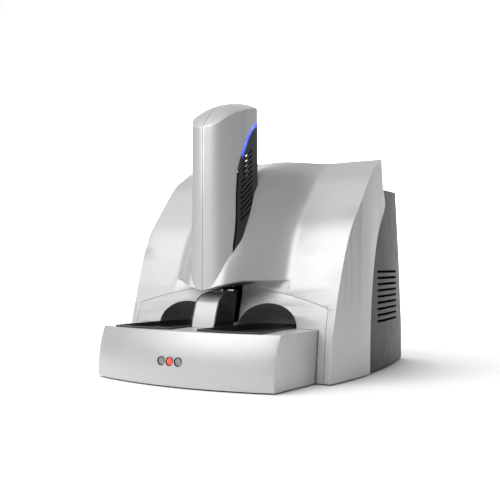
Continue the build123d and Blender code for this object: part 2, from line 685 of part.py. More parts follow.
# --- lamp ------------------------------------------------------------------------------------
def light_guide():
    """Polished rod from the lamp down into the light head."""
    return rod(0, GUIDE_Y, CONSOLE_HEIGHT + 32, GUIDE_RADIUS, LAMP_Z - 14 - CONSOLE_HEIGHT - 32, "Z")


def head_prism():
    """Wedge that turns the light out through both windows."""
    half, z0, z1 = 14.0, CONSOLE_HEIGHT + 12, CONSOLE_HEIGHT + 31.5
    wedge = make_face(Polyline((-half, z1), (half, z1), (0, z0), close=True))
    return Pos(0, HEAD_REAR_BASE_Y - 2, 0) * extrude(Plane.XZ * wedge, 13)


def reflector():
    """Cup that gathers the light of the LED array into the guide."""
    cup = Pos(0, GUIDE_Y, LAMP_Z - 7) * Cone(GUIDE_RADIUS + 2.5, 14.5, 14)
    return cup - Pos(0, GUIDE_Y, LAMP_Z - 7) * Cone(GUIDE_RADIUS + 0.4, 12.5, 14.2)


def led_board():
    """Round board with a square LED array on its underside."""
    board = rod(0, GUIDE_Y, LAMP_Z + 1.2, 16, 1.6, "Z")
    array = box(-6, 6, GUIDE_Y - 6, GUIDE_Y + 6, LAMP_Z + 0.2, LAMP_Z + 1.2)
    return board + array


def heat_sink():
    """Finned block on top of the LED board; its fins stand in the blower's air stream."""
    z0, z1 = LAMP_Z + 2.8, LAMP_Z + 62
    sink = box(-20, 20, GUIDE_Y - 17, COLUMN_Y + 12, z0, z0 + 6)
    for i in range(9):
        x = -20 + i * 4.75
        sink += box(x, x + 2, GUIDE_Y - 17, COLUMN_Y + 12, z0 + 5, z1)
    return sink


def blower_centre():
    return (GUIDE_Y + 4, LAMP_Z + 95)


def lamp_blower_housing():
    """Frame of the small axial fan above the heat sink, fixed to the column."""
    y, z = blower_centre()
    size = 44.0
    frame = Pos(0, y, z) * Box(size, size, 20)
    frame -= Pos(0, y, z) * Cylinder(size / 2 - 2, 21)
    hub = rod(0, y, z - 10, 9, 3, "Z")
    for i in range(3):
        arm = Pos(0, y, z - 8.5) * Rotation(0, 0, 120 * i + 30) * Pos(size / 4, 0, 0) * Box(size / 2 - 1, 3, 3)
        hub += arm
    pin = rod(0, y, z - 7.5, 1.4, 11, "Z")
    return frame + hub + pin


def axial_rotor(hub_radius, tip_radius, depth, bore, blades):
    """Hub and twisted blades of a fan, about the Z axis, its back at z = 0."""
    rotor = Cylinder(hub_radius, depth, align=(Align.CENTER, Align.CENTER, Align.MIN))
    length = tip_radius - hub_radius + 1
    for i in range(blades):
        blade = Pos(hub_radius - 1 + length / 2, 0, depth / 2) * Rotation(38, 0, 0) * Box(length, depth * 1.1, 1.2)
        rotor += Rotation(0, 0, 360 / blades * i) * blade
    keep = Cylinder(tip_radius, depth, align=(Align.CENTER, Align.CENTER, Align.MIN))
    hole = Cylinder(bore, depth - 2, align=(Align.CENTER, Align.CENTER, Align.MIN))
    return (rotor & keep) - Pos(0, 0, -0.5) * hole


def lamp_blower_rotor():
    y, z = blower_centre()
    return Pos(0, y, z - 6.5) * axial_rotor(9, 19, 13, 1.45, 7)


# --- rear fan --------------------------------------------------------------------------------
def fan_frame():
    """Square frame of the case fan, screwed behind the rear wall's vent."""
    frame = Box(FAN_SIZE, FAN_SIZE, FAN_DEPTH) - Cylinder(FAN_SIZE / 2 - 2, FAN_DEPTH + 1)
    hub = Pos(0, 0, -FAN_DEPTH / 2 + 1.5) * Cylinder(16, 3)
    for i in range(4):
        hub += Rotation(0, 0, 90 * i + 45) * Pos(FAN_SIZE / 4 + 2, 0, -FAN_DEPTH / 2 + 1.5) * Box(FAN_SIZE / 2 - 2, 4, 3)
    pin = Pos(0, 0, -FAN_DEPTH / 2 + 9) * Cylinder(2, 12)
    return fan_place() * Pos(0, 0, -FAN_DEPTH / 2 - 0.2) * (frame + hub + pin)


def fan_rotor():
    rotor = axial_rotor(16, FAN_SIZE / 2 - 3.5, FAN_DEPTH - 7, 2.05, 7)
    return fan_place() * Pos(0, 0, -FAN_DEPTH - 0.2 + 4.5) * rotor


def fan_guard():
    """Round wire guard on the outside of the rear wall."""
    rings = [12, 19, 26, 33]
    wire = 1.0
    guard = Cylinder(8, 2 * wire)
    for radius in rings:
        guard += Torus(radius, wire)
    for i in range(4):
        guard += Rotation(0, 0, 90 * i + 45) * Pos(FAN_SIZE / 4 + 4, 0, 0) * Box(FAN_SIZE / 2 + 4, 2 * wire, 2 * wire)
    return fan_place() * Pos(0, 0, 5.9) * guard


# --- rear connections ------------------------------------------------------------------------
def mains_inlet():
    """Appliance inlet with three blades in a rounded well."""
    body = box(INLET_X - 13.7, INLET_X + 13.7, HOUSING_REAR_Y - 24, HOUSING_REAR_Y, INLET_Z - 9.7, INLET_Z + 9.7)
    flange = box(INLET_X - 25, INLET_X + 25, HOUSING_REAR_Y, HOUSING_REAR_Y + 2.4, INLET_Z - 12, INLET_Z + 12)
    well = box(INLET_X - 11.8, INLET_X + 11.8, HOUSING_REAR_Y - 18, HOUSING_REAR_Y + 5, INLET_Z - 8, INLET_Z + 8)
    body = body + flange - well
    for x, z in ((-7, -1), (0, 2.5), (7, -1)):
        body += box(INLET_X + x - 1, INLET_X + x + 1, HOUSING_REAR_Y - 19, HOUSING_REAR_Y - 3,
                    INLET_Z + z - 2, INLET_Z + z + 2)
    return body


def switch_frame():
    """Snap-in frame of the mains switch."""
    half_w, half_l = ROCKER_WIDTH / 2, ROCKER_LENGTH / 2
    y = HOUSING_REAR_Y
    body = box(SWITCH_X - half_w - 1.8, SWITCH_X + half_w + 1.8, y - 16, y, INLET_Z - half_l - 1.8, INLET_Z + half_l + 1.8)
    rim = box(SWITCH_X - half_w - 3.5, SWITCH_X + half_w + 3.5, y, y + 1.6,
              INLET_Z - half_l - 3.5, INLET_Z + half_l + 3.5)
    room = box(SWITCH_X - half_w - 0.4, SWITCH_X + half_w + 0.4, y - 12, y + 5,
               INLET_Z - half_l - 0.6, INLET_Z + half_l + 0.6)
    pin = rod(SWITCH_X - half_w - 1.2, ROCKER_PIVOT_Y, INLET_Z, 1.2, ROCKER_WIDTH + 2.4, "X")
    return body + rim - room + pin


def power_rocker():
    """Rocker that tilts about a pin across the frame."""
    half_w, half_l, y = ROCKER_WIDTH / 2, ROCKER_LENGTH / 2, HOUSING_REAR_Y
    face = [
        ThreePointArc((y + ROCKER_PROUD, INLET_Z + half_l - 0.8), (y + 0.9, INLET_Z), (y + ROCKER_PROUD, INLET_Z - half_l + 0.8)),
        Polyline((y + ROCKER_PROUD, INLET_Z - half_l + 0.8), (y - 4, INLET_Z - half_l + 2.4), (y - 8, INLET_Z - 3),
                 (y - 8, INLET_Z + 3), (y - 4, INLET_Z + half_l - 2.4), (y + ROCKER_PROUD, INLET_Z + half_l - 0.8)),
    ]
    rocker = Pos(SWITCH_X, 0, 0) * prism_x(yz_face(*face), half_w)
    return rocker - rod(SWITCH_X - 20, ROCKER_PIVOT_Y, INLET_Z, 1.25, 40, "X")


def rating_plate():
    """Blank label plate on the rear wall."""
    return box(20, 84, HOUSING_REAR_Y + 0.05, HOUSING_REAR_Y + 0.85, 16, 42)


def rear_screws():
    """Heads of the screws that hold the rear housing."""
    y = HOUSING_REAR_Y
    return [rod(x, y + 0.02, z, SCREW_HEAD, 1.8, "Y") for x in (-122, 122) for z in (14, 40)]


# --- front controls --------------------------------------------------------------------------
def front_y(z):
    """Depth of the console's front on the centre plane, at a height."""
    straight = CONSOLE_HEIGHT * 0.12
    lean = CONSOLE_LEAN * max(0.0, (z - straight) / (CONSOLE_HEIGHT - straight)) ** 2.2
    return lean - CONSOLE_BULGE


def button_bezels():
    """Three short sleeves pressed into the console's front."""
    y = front_y(BUTTON_Z) - 0.6
    sleeves = []
    for x in button_places():
        sleeve = rod(x, y, BUTTON_Z, BEZEL_DIAMETER / 2, 9, "Y")
        sleeve -= rod(x, y - 1, BUTTON_Z, BUTTON_DIAMETER / 2 + BUTTON_GAP, 12, "Y")
        sleeves.append(sleeve)
    return sleeves


def button_cap(x):
    """Round cap with a slightly hollow face and a stem that reaches the switch board."""
    y = front_y(BUTTON_Z) + 0.5
    cap = rod(x, y, BUTTON_Z, BUTTON_DIAMETER / 2, 6, "Y")
    dish_radius = 30.0
    cap -= Pos(x, y + 0.7 - dish_radius, BUTTON_Z) * Sphere(dish_radius)
    return cap + rod(x, y + 5, BUTTON_Z, 2.0, BUTTON_BOARD_GAP - BUTTON_TRAVEL - 5.3, "Y")


def button_board():
    """Small board behind the front, with one switch for each button."""
    y = front_y(BUTTON_Z) + 0.5 + BUTTON_BOARD_GAP
    board = box(-30, 30, y + 3, y + 4.6, BUTTON_Z - 12, BUTTON_Z + 12)
    for x in button_places():
        board += box(x - 3, x + 3, y, y + 3, BUTTON_Z - 3, BUTTON_Z + 3)
    return board


# --- inner electrics -------------------------------------------------------------------------
def power_supply():
    """Folded metal case on the base plate, its sides slotted for cooling."""
    z0 = PLATE_Z + PLATE_THICKNESS
    case = box(-140, -40, 250, 370, z0, z0 + 42)
    case -= box(-138.5, -41.5, 251.5, 368.5, z0 + 1.5, z0 + 40.5)
    for i in range(14):
        y = 258 + i * 7.6
        case -= box(-100, -30, y, y + 3, z0 + 12, z0 + 32)
    return case


def control_board():
    """Main board on four spacers, with its larger components."""
    z0 = PLATE_Z + PLATE_THICKNESS + BOARD_SPACER
    board = box(-20, 130, 250, 340, z0, z0 + 1.6)
    tall = [(0, 262, 18, 26, 14), (34, 262, 12, 12, 20), (52, 262, 12, 12, 20), (74, 270, 30, 30, 5),
            (0, 300, 40, 22, 10), (60, 314, 22, 16, 8), (104, 262, 14, 50, 11)]
    for x, y, wide, deep, high in tall:
        board += box(x, x + wide, y, y + deep, z0 + 1.6, z0 + 1.6 + high)
    return board


def board_spacers():
    z0 = PLATE_Z + PLATE_THICKNESS
    return [rod(x, y, z0, 3, BOARD_SPACER, "Z") for x in (-12, 122) for y in (258, 332)]


def main():
    outer, cavity = hood_outer(), hood_cavity()
    save("front_console", front_console())
    save("hood_shell", hood_shell(outer, cavity))
    panel = bay_panel()
    save("bay_panel_right", panel)
    save("bay_panel_left", mirror_x(panel))
    save("rear_housing", rear_housing(cavity))
    for side, name in ((-1, "left"), (1, "right")):
        save(f"tray_{name}", Pos(side * BAY_PITCH / 2, 0, 0) * tray())
        save(f"tray_pad_{name}", Pos(side * BAY_PITCH / 2, 0, 0) * tray_pad())
    save("light_head_shell", light_head_shell())
    save("light_head_frame", light_head_frame())
    save("light_window_right", light_window())
    save("light_window_left", mirror_x(light_window()))
    tower, tower_inside = tower_blank(0), tower_blank(TOWER_SKIN)
    shell = tower_shell(tower, tower_inside)
    save("tower_shell_right", shell)
    save("tower_shell_left", mirror_x(shell))
    save("tower_rear_cover", tower_rear_cover(tower, tower_inside))
    glow = glow_pipe(tower, tower_inside)
    save("glow_pipe_right", glow)
    save("glow_pipe_left", mirror_x(glow))
    save("lamp_column", lamp_column())
    save("light_guide", light_guide())
    save("head_prism", head_prism())
    save("reflector", reflector())
    save("led_board", led_board())
    save("heat_sink", heat_sink())
    save("lamp_blower_housing", lamp_blower_housing())
    save("lamp_blower_rotor", lamp_blower_rotor())
    save("fan_frame", fan_frame())
    save("fan_rotor", fan_rotor())
    save("fan_guard", fan_guard())
    save("mains_inlet", mains_inlet())
    save("switch_frame", switch_frame())
    save("power_rocker", power_rocker())
    save("rating_plate", rating_plate())
    save("rear_screws", Compound(children=rear_screws()))
    save("button_bezels", Compound(children=button_bezels()))
    for x, name in zip(button_places(), ("left_button", "start_button", "right_button")):
        save(name, button_cap(x))
    save("button_board", button_board())
    save("base_plate", base_plate())
    save("feet", Compound(children=feet()))
    save("power_supply", power_supply())
    save("control_board", control_board())
    save("board_spacers", Compound(children=board_spacers()))


main()
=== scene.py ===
# %% [markdown]
# # A bench-top light-curing unit
# The unit is a silver hood with a lamp tower in front of it, two curing bays with lift-out
# trays, and a black vented housing behind. Its shapes come from the CAD model, which is
# loaded as a fixed frame. This lesson gives each shape its finish, models the small moulded
# and turned pieces that the CAD keeps plain, and then lights and views the whole unit.

# %% Load the CAD frame
import json
from math import pi, radians

import bpy
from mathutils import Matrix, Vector


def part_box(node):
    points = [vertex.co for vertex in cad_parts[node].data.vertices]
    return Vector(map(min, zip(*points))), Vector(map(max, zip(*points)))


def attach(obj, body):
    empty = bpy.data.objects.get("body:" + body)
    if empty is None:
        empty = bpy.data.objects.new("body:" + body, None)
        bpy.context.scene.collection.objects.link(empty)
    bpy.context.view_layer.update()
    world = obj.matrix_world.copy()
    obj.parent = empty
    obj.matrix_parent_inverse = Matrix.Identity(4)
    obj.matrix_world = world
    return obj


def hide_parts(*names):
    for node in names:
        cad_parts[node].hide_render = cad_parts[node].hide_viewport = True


MM = 0.001
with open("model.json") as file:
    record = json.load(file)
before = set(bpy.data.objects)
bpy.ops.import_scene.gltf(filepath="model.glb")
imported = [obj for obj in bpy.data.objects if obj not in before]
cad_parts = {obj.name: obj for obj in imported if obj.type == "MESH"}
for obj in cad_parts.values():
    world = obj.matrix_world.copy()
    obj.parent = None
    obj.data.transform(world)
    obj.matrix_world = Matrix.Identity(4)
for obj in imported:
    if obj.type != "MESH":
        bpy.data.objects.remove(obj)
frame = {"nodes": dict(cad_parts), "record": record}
nodes = frame["nodes"]
body_of = {n: b for b, members in frame["record"]["behaviour"]["bodies"].items() for n in members}
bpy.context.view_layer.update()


# %% [markdown]
# Operators act on whatever is selected, and the loader leaves the CAD nodes selected. A few
# small helpers keep the work on one object: the first selects nothing but that object, the
# second also opens it in edit mode with nothing selected, and the third then selects the
# faces or edges that pass a test. The last one closes a piece with its place in its mesh.

# %% Selection helpers
def only(piece):
    """Make one object the whole selection, in object mode."""
    current = bpy.context.object
    if current and current.mode == "EDIT":
        bpy.ops.object.mode_set(mode="OBJECT")
    bpy.ops.object.select_all(action="DESELECT")
    piece.select_set(True)
    bpy.context.view_layer.objects.active = piece


def edit(piece, mode="FACE"):
    """Open one object in edit mode with nothing selected."""
    only(piece)
    bpy.ops.object.mode_set(mode="EDIT")
    bpy.ops.mesh.select_mode(type=mode)
    bpy.ops.mesh.select_all(action="DESELECT")


def pick(piece, kind, test):
    """Select the faces or edges that pass a test, from edit mode and back to it."""
    bpy.ops.object.mode_set(mode="OBJECT")
    items = piece.data.polygons if kind == "FACE" else piece.data.edges
    for item in items:
        item.select = bool(test(item))
    bpy.ops.object.mode_set(mode="EDIT")


def edge_middle(piece, item):
    first, second = (piece.data.vertices[i].co for i in item.vertices)
    return (first + second) / 2


def settle(piece, name):
    """Leave edit mode, put the piece's place into its mesh, and name it."""
    only(piece)
    bpy.ops.object.transform_apply(location=True, rotation=True, scale=True)
    piece.name = name
    piece.data.name = name
    return piece


print("helpers ready")

# %% [markdown]
# ## Effects that several finishes share
# Real surfaces are never one flat colour. Lacquer has fine flakes and a faint orange peel,
# moulded plastic has an etched grain, handled surfaces have smudges, and dust settles on
# what faces up. Each effect is built once as a node group with its own inputs, so that every
# finish can use it at its own strength. All of them read Object coordinates, which stay with
# the piece when it moves.

# %% Start a node group
def start_group(name, inputs, output):
    """Node group of float sockets; returns it with its two ends and the Object coordinates."""
    group = bpy.data.node_groups.new(name, "ShaderNodeTree")
    for label, value in inputs.items():
        socket = group.interface.new_socket(label, in_out="INPUT", socket_type="NodeSocketFloat")
        socket.default_value = value
    group.interface.new_socket(output, in_out="OUTPUT", socket_type="NodeSocketFloat")
    start = group.nodes.new("NodeGroupInput")
    end = group.nodes.new("NodeGroupOutput")
    place = group.nodes.new("ShaderNodeTexCoord")
    return group, start, end, place.outputs["Object"]


def noise(tree, vector, scale, detail=3.0, rough=0.5):
    """Noise texture; the scale is a number or a socket."""
    node = tree.nodes.new("ShaderNodeTexNoise")
    node.inputs["Detail"].default_value = detail
    node.inputs["Roughness"].default_value = rough
    tree.links.new(vector, node.inputs["Vector"])
    put(tree, scale, node.inputs["Scale"])
    return node.outputs["Fac"]


def put(tree, value, socket):
    """Link a socket, or set a plain number."""
    if isinstance(value, bpy.types.NodeSocket):
        tree.links.new(value, socket)
    else:
        socket.default_value = value


def math(tree, operation, first, second=0.0):
    node = tree.nodes.new("ShaderNodeMath")
    node.operation = operation
    put(tree, first, node.inputs[0])
    put(tree, second, node.inputs[1])
    return node.outputs[0]


def span(tree, value, low, high, to_low=0.0, to_high=1.0):
    """Stretch a range of a value to another range."""
    node = tree.nodes.new("ShaderNodeMapRange")
    put(tree, value, node.inputs["Value"])
    for label, number in (("From Min", low), ("From Max", high), ("To Min", to_low), ("To Max", to_high)):
        put(tree, number, node.inputs[label])
    return node.outputs["Result"]


print("node helpers ready")


# %% Smudges, grain, flakes and dust
def smudge_group():
    """Patchy marks left by wiping and handling, from 0 to 1."""
    group, start, end, place = start_group("handling_marks", {"Size": 40.0, "Cover": 0.5}, "Mask")
    broad = noise(group, place, start.outputs["Size"], 4.0, 0.6)
    streaks = noise(group, place, math(group, "MULTIPLY", start.outputs["Size"], 6.0), 2.0)
    mixed = math(group, "ADD", math(group, "MULTIPLY", broad, 0.75), math(group, "MULTIPLY", streaks, 0.25))
    low = math(group, "SUBTRACT", 0.75, math(group, "MULTIPLY", start.outputs["Cover"], 0.5))
    group.links.new(span(group, mixed, low, 0.78), end.inputs["Mask"])
    return group


def grain_group():
    """Height of an etched mould surface: small rounded cells over a slight wave."""
    group, start, end, place = start_group("moulded_grain", {"Size": 900.0}, "Height")
    cells = group.nodes.new("ShaderNodeTexVoronoi")
    cells.feature = "SMOOTH_F1"
    group.links.new(place, cells.inputs["Vector"])
    group.links.new(start.outputs["Size"], cells.inputs["Scale"])
    wave = noise(group, place, math(group, "MULTIPLY", start.outputs["Size"], 0.35))
    height = math(group, "ADD", cells.outputs["Distance"], math(group, "MULTIPLY", wave, 0.6))
    group.links.new(height, end.inputs["Height"])
    return group


def flake_group():
    """Fine bright and dark flakes of a metallic lacquer, from 0 to 1."""
    group, start, end, place = start_group("lacquer_flakes", {"Size": 2600.0}, "Mask")
    fine = noise(group, place, start.outputs["Size"], 2.0)
    coarse = noise(group, place, math(group, "MULTIPLY", start.outputs["Size"], 0.3), 2.0)
    mixed = math(group, "ADD", math(group, "MULTIPLY", fine, 0.6), math(group, "MULTIPLY", coarse, 0.4))
    group.links.new(span(group, mixed, 0.35, 0.65), end.inputs["Mask"])
    return group


def dust_group():
    """Dust that has settled where the surface faces up, broken by noise."""
    group, start, end, place = start_group("settled_dust", {"Amount": 0.3}, "Mask")
    facing = group.nodes.new("ShaderNodeNewGeometry")
    parts = group.nodes.new("ShaderNodeSeparateXYZ")
    group.links.new(facing.outputs["Normal"], parts.inputs[0])
    upward = span(group, parts.outputs["Z"], 0.55, 1.0)
    patches = span(group, noise(group, place, 60.0, 5.0, 0.7), 0.35, 0.7)
    specks = span(group, noise(group, place, 1500.0, 1.0), 0.6, 0.75)
    both = math(group, "ADD", math(group, "MULTIPLY", patches, 0.6), math(group, "MULTIPLY", specks, 0.5))
    cover = math(group, "MULTIPLY", math(group, "MULTIPLY", upward, both), start.outputs["Amount"])
    group.links.new(cover, end.inputs["Mask"])
    return group


SMUDGES, GRAIN, FLAKES, DUST = smudge_group(), grain_group(), flake_group(), dust_group()
print("shared effects:", [g.name for g in (SMUDGES, GRAIN, FLAKES, DUST)])


# %% [markdown]
# ## The finishes
# A finish starts from the Principled shader. What is the same all over a surface is set on
# the shader's own sockets. What changes over the surface reaches it through links: a colour
# that drifts between two tones, a roughness that the smudges raise, and a bump.

# %% Building blocks of a finish
def start_finish(name, **settings):
    """Material with a Principled shader and plain settings; returns it with its tree and shader."""
    material = bpy.data.materials.new(name)
    material.use_nodes = True
    tree = material.node_tree
    shader = tree.nodes["Principled BSDF"]
    for label, value in settings.items():
        shader.inputs[label.replace("_", " ")].default_value = value
    return material, tree, shader


def use(tree, group, **values):
    """Place a shared effect with its own values and return its output."""
    node = tree.nodes.new("ShaderNodeGroup")
    node.node_tree = group
    for label, value in values.items():
        node.inputs[label].default_value = value
    return node.outputs[0]


def tones(tree, factor, first, second):
    """Colour that goes from one tone to another."""
    node = tree.nodes.new("ShaderNodeMix")
    node.data_type = "RGBA"
    put(tree, factor, node.inputs["Factor"])
    colours = [s for s in node.inputs if s.type == "RGBA"]
    for socket, colour in zip(colours, (first, second)):
        if isinstance(colour, bpy.types.NodeSocket):
            tree.links.new(colour, socket)
        else:
            socket.default_value = (*colour, 1.0)
    return [s for s in node.outputs if s.type == "RGBA"][0]


def object_place(tree):
    """Object coordinates, which stay with the piece when it moves."""
    return tree.nodes.new("ShaderNodeTexCoord").outputs["Object"]


def relief(tree, shader, height, depth):
    """Bump on the shader; the depth is in metres."""
    node = tree.nodes.new("ShaderNodeBump")
    node.inputs["Strength"].default_value = 1.0
    node.inputs["Distance"].default_value = depth
    tree.links.new(height, node.inputs["Height"])
    tree.links.new(node.outputs["Normal"], shader.inputs["Normal"])


def vary_roughness(tree, shader, mask, low, high):
    """Roughness that goes from low to high with the mask."""
    tree.links.new(span(tree, mask, 0.0, 1.0, low, high), shader.inputs["Roughness"])


print("finish helpers ready")


# %% [markdown]
# The hood, the console and the tower wear one silver lacquer: a metallic base with fine
# flakes, a thin clear coat, and a very faint orange peel. A plain metal would mirror too
# sharply, and a plain grey paint would lose the bright-to-dark sweep over the curves, so the
# base is half metallic and fairly rough under a light coat.
#
# The upper run of each light pipe is lit, and its blue light spills a little way over the
# lacquer beside it. The spill is worked out from the distance to the pipe's line, seen from
# the side, and only the tower comes near that line.

# %% Light that spills over the lacquer
GLOW_FOOT = (-106.3 * MM, 303.0 * MM)       # Y and Z where the lit run of a light pipe begins
GLOW_RUN = 52.6 * MM                        # length of the lit run
GLOW_SLOPE = (0.560, 0.828)                 # Y and Z parts of its direction
GLOW_SPREAD = 9.0 * MM                      # how far its light spills over the lacquer
GLOW_FULL, GLOW_GONE = 0.36, 0.58           # shares of the run, from its middle, where it fades
GLOW_STRENGTH = 0.8


def light_spill(tree):
    """Mask that is 1 along the lit light pipes and fades to 0 a short way off."""
    parts = tree.nodes.new("ShaderNodeSeparateXYZ")
    tree.links.new(object_place(tree), parts.inputs[0])
    back = math(tree, "SUBTRACT", parts.outputs["Y"], GLOW_FOOT[0])
    up = math(tree, "SUBTRACT", parts.outputs["Z"], GLOW_FOOT[1])
    along = math(tree, "ADD", math(tree, "MULTIPLY", back, GLOW_SLOPE[0]),
                 math(tree, "MULTIPLY", up, GLOW_SLOPE[1]))
    across = math(tree, "SUBTRACT", math(tree, "MULTIPLY", back, GLOW_SLOPE[1]),
                  math(tree, "MULTIPLY", up, GLOW_SLOPE[0]))
    near = span(tree, math(tree, "ABSOLUTE", across), 0.0, GLOW_SPREAD, 1.0, 0.0)
    from_middle = math(tree, "ABSOLUTE", math(tree, "SUBTRACT", along, GLOW_RUN / 2))
    within = span(tree, from_middle, GLOW_RUN * GLOW_FULL, GLOW_RUN * GLOW_GONE, 1.0, 0.0)
    return math(tree, "MULTIPLY", math(tree, "MULTIPLY", near, near), within)


print("lit run of a light pipe in mm:", round(GLOW_RUN / MM, 1))


# %% Silver lacquer
def silver_lacquer():
    material, tree, shader = start_finish(
        "silver_lacquer", Metallic=0.5, Coat_Weight=0.12, Coat_Roughness=0.3)
    flakes = use(tree, FLAKES, Size=2600.0)
    drift = span(tree, noise(tree, object_place(tree), 9.0, 2.0), 0.3, 0.7)
    metal = tones(tree, flakes, (0.50, 0.505, 0.51), (0.66, 0.665, 0.67))
    toned = tones(tree, math(tree, "MULTIPLY", drift, 0.35), metal, (0.54, 0.545, 0.55))
    dusty = tones(tree, use(tree, DUST, Amount=0.16), toned, (0.50, 0.495, 0.48))
    tree.links.new(dusty, shader.inputs["Base Color"])
    vary_roughness(tree, shader, use(tree, SMUDGES, Size=30.0, Cover=0.55), 0.44, 0.54)
    peel = noise(tree, object_place(tree), 420.0, 2.0)
    relief(tree, shader, peel, 0.03 * MM)
    shader.inputs["Emission Color"].default_value = (0.03, 0.07, 1.0, 1.0)
    spill = math(tree, "MULTIPLY", light_spill(tree), GLOW_STRENGTH)
    tree.links.new(spill, shader.inputs["Emission Strength"])
    return material


# %% [markdown]
# The rear housing and the tower's rear cover are black plastic from an etched mould. The
# etch is a field of rounded cells under a millimetre across. It breaks the shine up, and the
# little dust that lies in it shows as a grey bloom on what faces up.

# %% Black textured plastic and its smoother relatives
def moulded_plastic(name, dark, light, rough, cell, depth, dust=0.3, coat=0.0):
    """Plastic whose grain, tones and dust are given."""
    material, tree, shader = start_finish(name, Coat_Weight=coat, Coat_Roughness=0.12)
    grain = use(tree, GRAIN, Size=cell)
    drift = noise(tree, object_place(tree), 25.0, 4.0)
    base = tones(tree, span(tree, drift, 0.3, 0.7), dark, light)
    dusty = tones(tree, use(tree, DUST, Amount=dust), base, (0.32, 0.31, 0.29))
    tree.links.new(dusty, shader.inputs["Base Color"])
    vary_roughness(tree, shader, use(tree, SMUDGES, Size=45.0, Cover=0.5), rough[0], rough[1])
    relief(tree, shader, grain, depth * MM)
    return material


black_housing = moulded_plastic(
    "black_housing", (0.016, 0.016, 0.017), (0.024, 0.024, 0.026), (0.48, 0.62), 1100.0, 0.12)
tray_rim_finish = moulded_plastic(
    "tray_black", (0.030, 0.030, 0.032), (0.045, 0.045, 0.048), (0.28, 0.42), 2200.0, 0.03, 0.12)
pad_finish = moulded_plastic(
    "pad_black", (0.007, 0.007, 0.008), (0.012, 0.012, 0.014), (0.06, 0.17), 3000.0, 0.004, 0.08, 0.6)
rubber_finish = moulded_plastic(
    "rubber", (0.018, 0.018, 0.018), (0.030, 0.030, 0.029), (0.72, 0.86), 1500.0, 0.08, 0.4)
dark_trim = moulded_plastic(
    "dark_trim", (0.025, 0.025, 0.027), (0.040, 0.040, 0.042), (0.22, 0.34), 2400.0, 0.01, 0.1)
button_grey = moulded_plastic(
    "button_grey", (0.26, 0.265, 0.27), (0.34, 0.345, 0.35), (0.28, 0.40), 2600.0, 0.01, 0.05)
silver_finish = silver_lacquer()
print("plastics and lacquer ready")


# %% [markdown]
# The sheet steel is zinc plated, which shows as faint interlocking crystals. The heat sink,
# the reflector and the rating plate are aluminium with brushing in one direction: a noise
# that is stretched along one axis. The fan guard and the screws are bright plated steel.

# %% Metals
def brushed(name, colour, rough, stretch):
    """Metal with fine lines; the stretch is the noise's scale along X, Y and Z."""
    material, tree, shader = start_finish(name, Metallic=1.0)
    mapping = tree.nodes.new("ShaderNodeMapping")
    mapping.inputs["Scale"].default_value = stretch
    tree.links.new(object_place(tree), mapping.inputs["Vector"])
    lines = noise(tree, mapping.outputs["Vector"], 1.0, 3.0, 0.6)
    darker = tuple(channel * 0.78 for channel in colour)
    base = tones(tree, span(tree, lines, 0.3, 0.7), darker, colour)
    tree.links.new(base, shader.inputs["Base Color"])
    smudges = use(tree, SMUDGES, Size=60.0, Cover=0.5)
    vary_roughness(tree, shader, smudges, rough, rough + 0.15)
    relief(tree, shader, lines, 0.01 * MM)
    return material


zinc_steel = brushed("zinc_steel", (0.60, 0.61, 0.62), 0.34, (160.0, 160.0, 160.0))
bright_steel = brushed("bright_steel", (0.72, 0.72, 0.73), 0.16, (900.0, 900.0, 900.0))
brushed_aluminium = brushed("aluminium", (0.76, 0.77, 0.78), 0.30, (30.0, 900.0, 2400.0))
print("metals ready")


# %% [markdown]
# The light head's sides are windows with a very dark base colour, the light guide and prism
# are clear, and the light pipes on the tower are frosted and lit blue from within, in their
# upper run only. The middle button is lit red.
# Glass keeps a plain Transmission Weight, and what varies is only its roughness. A lit piece
# varies in brightness, because its lamp sits behind one part of it.

# %% Windows, optics, lit pieces and circuit boards
def tinted(name, colour, transmission, low, high):
    material, tree, shader = start_finish(name, Transmission_Weight=transmission, IOR=1.49)
    haze = noise(tree, object_place(tree), 35.0, 3.0)
    darker = tuple(channel * 0.7 for channel in colour)
    tree.links.new(tones(tree, haze, darker, colour), shader.inputs["Base Color"])
    vary_roughness(tree, shader, use(tree, SMUDGES, Size=70.0, Cover=0.45), low, high)
    return material


LIGHT_FADE = 10 * MM            # height over which a lit piece goes from dark to lit


def lit(name, dark, bright, body, strength, scale, lowest=-1.0):
    """Frosted piece with uneven light behind it, from a lowest height up."""
    material, tree, shader = start_finish(
        name, Roughness=0.35, Emission_Strength=strength, Coat_Weight=0.3)
    uneven = span(tree, noise(tree, object_place(tree), scale, 2.0), 0.3, 0.7)
    parts = tree.nodes.new("ShaderNodeSeparateXYZ")
    tree.links.new(object_place(tree), parts.inputs[0])
    reached = span(tree, parts.outputs["Z"], lowest, lowest + LIGHT_FADE)
    glow = tones(tree, reached, (0.0, 0.0, 0.0), tones(tree, uneven, dark, bright))
    tree.links.new(glow, shader.inputs["Emission Color"])
    body_tone = tones(tree, reached, (0.03, 0.03, 0.04), tones(tree, uneven, body, bright))
    tree.links.new(body_tone, shader.inputs["Base Color"])
    return material


def circuit_board():
    """Green solder mask with copper tracks that show through as lighter lines."""
    material, tree, shader = start_finish("circuit_board", Coat_Weight=0.3)
    tracks = tree.nodes.new("ShaderNodeTexBrick")
    tracks.inputs["Scale"].default_value = 180.0
    tracks.inputs["Mortar Size"].default_value = 0.03
    tree.links.new(object_place(tree), tracks.inputs["Vector"])
    base = tones(tree, tracks.outputs["Fac"], (0.010, 0.085, 0.030), (0.030, 0.170, 0.070))
    tree.links.new(base, shader.inputs["Base Color"])
    vary_roughness(tree, shader, use(tree, SMUDGES, Size=80.0, Cover=0.4), 0.30, 0.45)
    relief(tree, shader, tracks.outputs["Fac"], 0.03 * MM)
    return material
